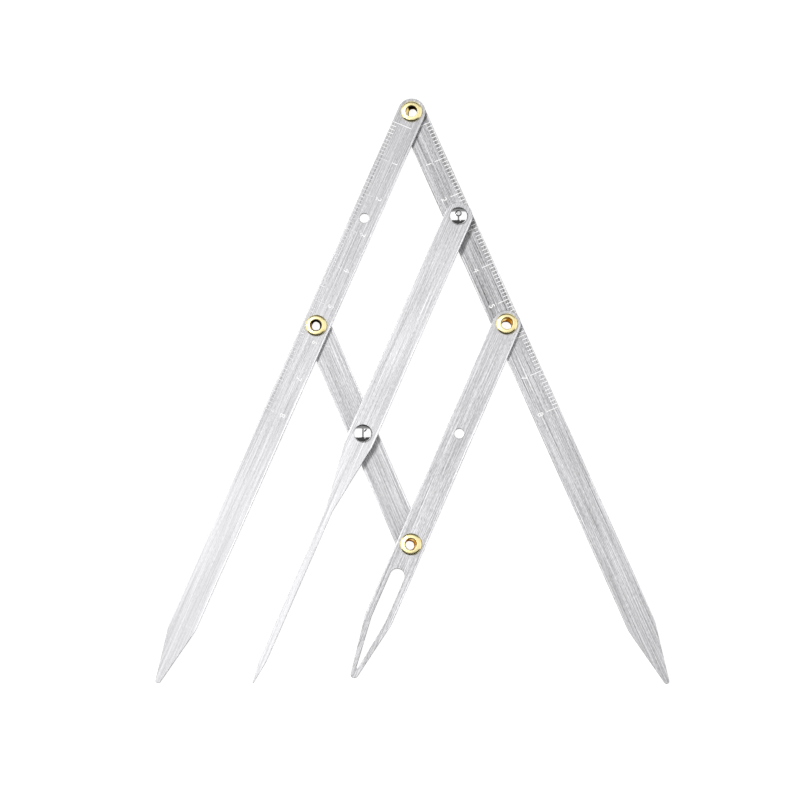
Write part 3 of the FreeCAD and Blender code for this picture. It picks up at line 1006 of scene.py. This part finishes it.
@dataclass
class Rivet:
    """A domed rivet that holds the needle blade, with its washer and the cap that holds its post behind."""

    side: str
    mark: ToolMark
    post: float = 1.20
    post_z: float = 0.18
    post_cut: float = 0.10
    neck: float = 0.05
    head: float = 2.25
    head_z: float = 3.75
    head_round: float = 0.08
    under_inset: float = 0.12
    rim: float = 0.15
    rise: float = 0.95
    cap: float = 2.20
    cap_z: float = 0.55
    cap_round: float = 0.35
    washer: float = 2.20
    washer_bore: float = 1.25
    washer_z: Pair = (1.55, 2.65)
    cut: float = 0.06
    dimple: tuple[Pair, ...] = ((0.0, 0.07), (0.12, 0.06), (0.30, 0.02), (0.45, 0.0))
    punch: Pair = (0.025, 0.10)
    disc_sink: float = 0.04
    disc_tip: float = 0.12
    unmarked: float = 0.1

    def head_section(self) -> np.ndarray:
        """Section of the post and the head, from the axis at the post's end round to the dome's top.

        The dome is a quarter ellipse: distance = head * cos(s), height = base + rise * sin(s).

        Returns:
            Rows of distance from the axis and height, in mm.
        """
        base, nick, cut = self.head_z + self.rim, self.head_round, self.post_cut
        s = np.linspace(0.0, 1.0, 61)[:-1] * math.pi / 2.0
        return np.vstack((
            [(0.0, self.post_z), (self.post - cut, self.post_z), (self.post, self.post_z + cut)],
            [(self.post, self.head_z - self.neck), (self.post + self.neck, self.head_z)],
            [(self.head - self.under_inset, self.head_z)],
            arc((self.head - nick, self.head_z + nick), nick, -80.0, 0.0, 5),
            np.column_stack((self.head * np.cos(s), base + self.rise * np.sin(s))),
            [(0.0, base + self.rise)],
        ))

    def cap_section(self) -> np.ndarray:
        """Section of the cap behind: a flat cup with a round rim and a small centre dimple.

        Returns:
            Rows of distance from the axis and height, in mm.
        """
        return np.vstack((
            self.dimple,
            arc((self.cap - self.cap_round, self.cap_round), self.cap_round, -90.0, 0.0, 10),
            arc((self.cap - self.cut, self.cap_z - self.cut), self.cut, 0.0, 90.0, 4),
            [(self.post, self.cap_z), (self.post, self.post_z), (0.0, self.post_z)],
        ))

    def washer_section(self) -> np.ndarray:
        """Closed section of the washer between the blades, with its edges broken.

        Returns:
            Rows of distance from the axis and height, in mm.
        """
        cut, (low, high) = self.cut, self.washer_z
        return np.array([
            (self.washer_bore, low + cut), (self.washer_bore + cut, low),
            (self.washer - cut, low), (self.washer, low + cut),
            (self.washer, high - cut), (self.washer - cut, high),
            (self.washer_bore + cut, high), (self.washer_bore, high - cut),
        ])

    def punched(self, points: np.ndarray, turn: np.ndarray) -> np.ndarray:
        """The shallow ring that the setting tool leaves on a head.

        With d the distance from the mark's middle, the height drops by depth * exp(-((d - ring) / width)^2), and by
        (sink + tip * x) * exp(-(d / ring)^6), which sinks and tips the disc within. The dome's foot and a head whose
        mark has no ring stay as they are.

        Args:
            points: rows of x, y and z about the axis.
            turn: their turns about the axis, which the mark doesn't use.

        Returns:
            The moved rows.
        """
        ring = self.mark.ring
        if ring == 0.0:
            return points
        x = points[:, 0] - self.mark.x
        distance = np.hypot(x, points[:, 1] - self.mark.y)
        depth, width = self.punch
        dent = depth * np.exp(-((distance - ring) / width) ** 2)
        dent += (self.disc_sink + self.disc_tip * x) * np.exp(-((distance / ring) ** 6))
        moved = points.copy()
        moved[:, 2] -= np.where(points[:, 2] > self.head_z + self.rim + self.unmarked, dent, 0.0)
        return moved

    def build(self, finish: PolishedSteel) -> None:
        """Make the rivet, its washer and its cap in place of their solids."""
        axis = middle(f"{self.side}_rivet")
        head = finish.material(f"{self.side}_rivet_steel", axis, self.mark, self.head - self.under_inset)
        rest = finish.material(f"{self.side}_washer_steel", axis, self.mark, self.head)
        for kind, section, ring, warp, material, slot in (
            ("rivet", self.head_section(), False, self.punched, head, Slot.POLISHED_STEEL),
            ("rivet_cap", self.cap_section(), False, None, rest, Slot.POLISHED_STEEL),
            ("spacer", self.washer_section(), True, None, rest, Slot.BLADE_STEEL),
        ):
            node = f"{self.side}_{kind}"
            settle(turned(f"{node}_steel", section, middle(node), ring, warp), node, slot, material, node)


# ---- the studio ----

@dataclass
class Studio:
    """A pale table, two broad white panels left and right of the tool, and a softer key from the upper left.

    The room's bands and places are on the pattern that light_room describes. Lamps have their watts and their place
    in metres.
    """

    view: Triple = (0.03, -0.17, 0.985)
    pattern_radius: float = 0.7165
    panels: Pair = (1.05, 1.01)
    panel_seam: Pair = (-0.1, 0.1)
    middle: float = 1.12
    middle_band: Pair = (0.10, 0.26)
    gap: float = 0.16
    gap_band: Pair = (0.035, 0.075)
    low: float = 0.3
    low_band: Pair = (1.0, 1.2)
    ends_lift: float = 0.03
    ends_seam: Pair = (-0.2, 0.2)
    near_end: float = 0.06
    far_end: float = 0.27
    far_dark: float = 0.06
    far_band: Pair = (0.50, 0.70)
    end_band: Pair = (0.265, 0.315)
    end_rise: float = 0.22
    card: float = 0.9
    card_place: Triple = (0.16, -0.42, 0.0)
    card_shape: Triple = (1.0, 1.6, 0.0)
    card_band: Pair = (0.05, 0.09)
    lamps: tuple[tuple[str, float, Triple], ...] = (("key", 4.9, (-0.55, 0.22, 1.02)),
                                                    ("fill", 2.6, (-0.55, -0.10, 1.02)))
    lamp_size: float = 0.15
    lamp_target: Triple = (0.0, -0.07, 0.0)
    table_z: float = -0.02
    table_reach: float = 3.0
    table_paint: float = 0.82
    table_faint: float = 0.22
    table_glow: float = 0.92

    def light_room(self) -> None:
        """The room as the world's light.

        The pattern is drawn on the half-way vector between a direction and the usual view, as a dome shows the room.
        With p = half-way vector / radius, two white panels stand left and right of a narrow dark gap at p.x = 0, and
        the room's ends are dark where |p.y| passes a bound that rises with |p.x|. A white card is in the near end.
        """
        world = bpy.context.scene.world = bpy.data.worlds.new("room")
        graph = Graph(world)
        direction = graph.add("ShaderNodeTexCoord").outputs["Generated"]
        half_way = graph.vector("NORMALIZE", graph.vector("ADD", direction, self.view))
        x, y, _ = graph.parts(graph.vector("MULTIPLY", half_way, (1.0 / self.pattern_radius,) * 3))
        across = graph.math("ABSOLUTE", x)
        away = graph.math("ABSOLUTE", graph.math("ADD", y, self.ends_lift))
        lit = graph.ramp(across, *self.middle_band, self.middle, graph.ramp(x, *self.panel_seam, *self.panels))
        lit = graph.times(lit, graph.ramp(across, *self.gap_band, self.gap, 1.0))
        lit = graph.times(lit, graph.ramp(across, *self.low_band, 1.0, self.low))
        far = graph.ramp(y, *self.far_band, self.far_end, self.far_dark)
        dark = graph.ramp(y, *self.ends_seam, self.near_end, far)
        end = graph.ramp(graph.scaled(across, -self.end_rise, away), *self.end_band)
        light = graph.ramp(end, 0.0, 1.0, lit, dark)
        from_card = graph.vector("SUBTRACT", graph.joined(x, y, 0.0), self.card_place)
        off_card = graph.vector("LENGTH", graph.vector("MULTIPLY", from_card, self.card_shape))
        light = graph.larger(light, graph.ramp(off_card, *self.card_band, self.card, 0.0))
        seen = graph.add("ShaderNodeLightPath").outputs["Is Camera Ray"]
        background = graph.add("ShaderNodeBackground", (1.0,) * 4, graph.ramp(seen, 0.0, 1.0, light, 1.0))
        graph.add("ShaderNodeOutputWorld", background.outputs[0])

    def hang_lamps(self) -> None:
        """The soft square lamps, aimed at the middle of the tool."""
        for name, watts, place in self.lamps:
            lamp = bpy.data.lights.new(name, "AREA")
            lamp.energy = watts
            lamp.shape = "RECTANGLE"
            lamp.size = lamp.size_y = self.lamp_size
            holder = linked(bpy.data.objects.new(name, lamp))
            holder.location = Vector(place)
            holder.rotation_euler = (Vector(place) - Vector(self.lamp_target)).to_track_quat("Z", "Y").to_euler()

    def lay_table(self) -> None:
        """The white table under the tool, which glows a little for the camera and in reflections."""
        reach = self.table_reach / MM
        corners = np.array([(-reach, -reach), (reach, -reach), (reach, reach), (-reach, reach)])
        table = new_piece("table", np.column_stack((corners, np.full(4, self.table_z))), [[0, 1, 2, 3]])
        if table.data.polygons[0].normal.z < 0.0:
            table.data.flip_normals()
        material = bpy.data.materials.new("table_white")
        graph = Graph(material)
        paint, faint = (graph.add("ShaderNodeBsdfDiffuse", (tone, tone, tone, 1.0)).outputs[0]
                        for tone in (self.table_paint, self.table_faint))
        glow = graph.add("ShaderNodeEmission", (1.0,) * 4, self.table_glow).outputs[0]
        shown = graph.add("ShaderNodeAddShader", faint, glow).outputs[0]
        path = graph.add("ShaderNodeLightPath").outputs
        seen = graph.larger(path["Is Camera Ray"], path["Is Glossy Ray"])
        seen = graph.larger(seen, path["Is Transmission Ray"])
        graph.add("ShaderNodeOutputMaterial", graph.add("ShaderNodeMixShader", seen, paint, shown).outputs[0])
        table.data.materials.append(material)

    def build(self) -> None:
        """Set the table and the lights."""
        self.lay_table()
        self.light_room()
        self.hang_lamps()
        bpy.context.scene.view_settings.view_transform = "Standard"
        log.info("table and lights are set")


@dataclass
class Viewpoint:
    """The camera: above the tool, a little towards the tips and to the right, looking down at it.

    Place and target are in mm, the roll is in degrees, and the shift is in shares of the picture's width.
    """

    place: Triple = (27.5, -142.7, 494.6)
    target: Triple = (0.0, -75.0, 0.0)
    roll: float = 0.079
    lens: float = 89.76
    sensor: float = 36.0
    shift: Pair = (-0.0146, 0.0064)
    clip: Pair = (0.01, 10.0)

    def build(self) -> None:
        """Make the camera, with its back along the line from target to place and its top towards the apex."""
        data = bpy.data.cameras.new("camera")
        data.lens, data.sensor_width = self.lens, self.sensor
        data.shift_x, data.shift_y = self.shift
        data.clip_start, data.clip_end = self.clip
        way = Vector(self.place) - Vector(self.target)
        back = way.normalized()
        right = Vector((0.0, 1.0, 0.0)).cross(back).normalized()
        top = back.cross(right)
        cos, sin = math.cos(math.radians(self.roll)), math.sin(math.radians(self.roll))
        axes = (right * cos + top * sin, top * cos - right * sin, back)
        camera = linked(bpy.data.objects.new("camera", data))
        camera.matrix_world = Matrix.Translation(Vector(self.place) * MM) @ Matrix(axes).transposed().to_4x4()
        bpy.context.scene.camera = camera
        log.info("camera stands %.0f mm from the tool", way.length)


# ---- the whole tool ----

@dataclass
class Divider:
    """The proportional divider: its blades, rulers, eyelets and rivets."""

    left_arm: Blade = Blade(
        "left_arm", "apex_eyelet", "left_eyelet", 1.0,
        Wear((1.005, 0.97), (85.0, 130.0), (1.3, 0.6), (10.0, 130.0), (-1.0, 0.07), (-0.155, 80.0, 38.0)))
    # The right arm's darker start by the upper rivet is partly painted shade, where the needle blade's shadow falls.
    right_arm: Blade = Blade(
        "right_arm", "apex_eyelet", "right_eyelet", 2.0,
        Wear((0.655, 1.10), (40.0, 135.0), (1.4, 1.6), (10.0, 60.0), (1.0, 0.10), (0.085, 70.0, 20.0)))
    links: tuple[Blade, ...] = (
        Blade("cross_link", "left_eyelet", "lower_eyelet", 3.0, Wear((0.85, 0.935), (20.0, 45.0), (1.25, 1.30))),
        Blade("needle_arm", "upper_rivet", "lower_rivet", 4.0,
              Wear((1.05, 1.09), (82.0, 116.0), (1.4, 0.8), (0.0, 90.0), patch=(-0.125, 54.0, 30.0))),
        Blade("loop_arm", "right_eyelet", "lower_eyelet", 5.0,
              Wear((0.92, 0.80), (0.0, 60.0), (1.15, 1.30), patch=(0.22, 112.0, 26.0))),
    )
    rulings: tuple[tuple[RuledEdge, float], ...] = ((RuledEdge.TO_THE_RIGHT, 0.75), (RuledEdge.TO_THE_LEFT, 0.0))
    eyelets: tuple[Eyelet, ...] = (
        Eyelet("apex_eyelet", (0.24, 0.08), 0.4, Soot(40.0, 0.58, 0.9), 1.16, (0.06, 90.0), shine=0.16),
        Eyelet("left_eyelet", (-0.31, 0.28), 1.9, Soot(35.0, 0.85, 0.9), 1.04, (0.03, 90.0), (-0.06, 0.0)),
        Eyelet("right_eyelet", (-0.14, -0.12), 3.1, Soot(110.0, 0.55, 0.16), 1.13, (0.14, -25.0), (0.12, 0.14)),
        Eyelet("lower_eyelet", (-0.44, -0.12), 4.6, Soot(75.0, 0.55, 0.14), 1.08, (0.06, -45.0), (0.05, 0.0)),
    )
    rivets: tuple[Rivet, ...] = (
        Rivet("upper", ToolMark(0.0, 0.46, 0.68, 0.15)),
        Rivet("lower", ToolMark(0.72, 0.64, 0.0, 0.19, 2.8, 48.0)),
    )

    def build(self) -> None:
        """Dress the blades and make the rulers, eyelets and rivets."""
        steel, etching, brass, polished = BrushedSteel(), Etching(), Brass(), PolishedSteel()
        arms = (self.left_arm, self.right_arm)
        for blade in (*arms, *self.links):
            blade.dress(steel)
        for arm, (edge, fading) in zip(arms, self.rulings):
            Ruler(arm, edge, fading).build(etching)
        for eyelet in self.eyelets:
            eyelet.build(brass)
        for rivet in self.rivets:
            rivet.build(polished)


def main() -> None:
    """Build the tool, the studio and the camera, in that order."""
    logging.basicConfig(level=logging.INFO, format="%(message)s")
    Divider().build()
    Studio().build()
    Viewpoint().build()


if __name__ == "__main__":
    main()
